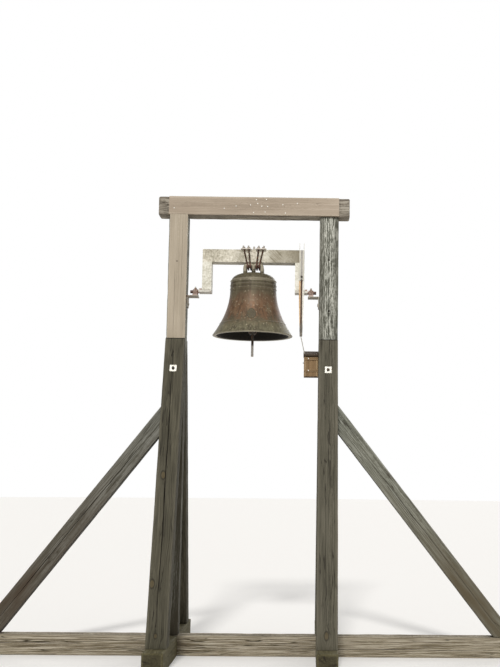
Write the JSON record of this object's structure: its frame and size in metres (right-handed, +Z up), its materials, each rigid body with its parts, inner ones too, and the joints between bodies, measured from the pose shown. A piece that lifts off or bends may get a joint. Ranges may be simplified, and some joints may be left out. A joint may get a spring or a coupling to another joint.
{
  "type": "timber tower for a swinging tower bell",
  "caption": "Free-standing open timber frame with raking struts and side braces, carrying a bronze bell on a cranked headstock that swings between two posts.",
  "frame": {"origin": "centre of the ground rectangle that the base covers, on the ground", "axes": "+X along the sill to the right, +Y from the boarded front to the rear, +Z up"},
  "size_m": [5.1961, 2.11, 4.19],
  "materials": {
    "base_timber": "weathered grey, cracked",
    "post_timber": "weathered grey, rough",
    "beam_timber": "weathered grey, rough",
    "weather_board": "smooth sawn, sun-bleached tan",
    "brace_timber": "weathered grey-brown",
    "strut_timber": "weathered grey-brown",
    "headstock_steel": "dull galvanised, weathered pale grey",
    "stained_wood": "orange-tan stain, satin",
    "roof_wood": "dark brown stain",
    "zinc_fixing": "dull galvanised",
    "rusty_bracket": "rusty primer",
    "bearing_iron": "rusty cast",
    "dark_steel": "dull, lightly rusted",
    "rusty_rod": "dark, rusted",
    "bell_bronze": "brown patina with olive shoulder",
    "clapper_iron": "forged, dark",
    "lever_steel": "galvanised with rusty web",
    "cord": "twisted cord"
  },
  "bodies": {
    "frame": {"sill": "base_timber", "left_sleeper": "base_timber", "right_sleeper": "base_timber", "left_post": "post_timber", "right_post": "post_timber", "top_beam": "beam_timber", "beam_board": "weather_board", "left_post_board": "weather_board", "left_brace": "brace_timber", "right_brace": "brace_timber", "left_front_strut": "strut_timber", "right_front_strut": "strut_timber", "left_rear_strut": "strut_timber", "right_rear_strut": "strut_timber", "left_front_bolt": "zinc_fixing", "right_front_bolt": "zinc_fixing", "left_rear_bolt": "zinc_fixing", "right_rear_bolt": "zinc_fixing", "left_bracket": "rusty_bracket", "right_bracket": "rusty_bracket", "left_bearing": "bearing_iron", "right_bearing": "bearing_iron", "drive_box": "stained_wood", "drive_box_front": "stained_wood", "drive_box_roof": "roof_wood"},
    "swinging_bell": {"headstock_beam": "headstock_steel", "left_leg": "headstock_steel", "right_leg": "headstock_steel", "left_gudgeon": "dark_steel", "right_gudgeon": "dark_steel", "left_strap_plate": "dark_steel", "right_strap_plate": "dark_steel", "left_outer_strap": "rusty_rod", "left_inner_strap": "rusty_rod", "right_inner_strap": "rusty_rod", "right_outer_strap": "rusty_rod", "bell": "bell_bronze", "clapper_staple": "dark_steel", "ringing_lever": "lever_steel", "upper_lever_bolt": "dark_steel", "lower_lever_bolt": "dark_steel", "pull_cord": "cord"},
    "clapper": {"clapper": "clapper_iron"}
  },
  "joints": [
    {"name": "bell_swing", "type": "hinge", "parent": "frame", "child": "swinging_bell", "pos_m": [0, 0, 3.3], "axis": [1, 0, 0], "range_deg": [-60, 60], "deforming": ["pull_cord"]},
    {"name": "clapper_swing", "type": "hinge", "parent": "swinging_bell", "child": "clapper", "pos_m": [0, 0, 3.389], "axis": [1, 0, 0], "range_deg": [-28, 28]}
  ]
}
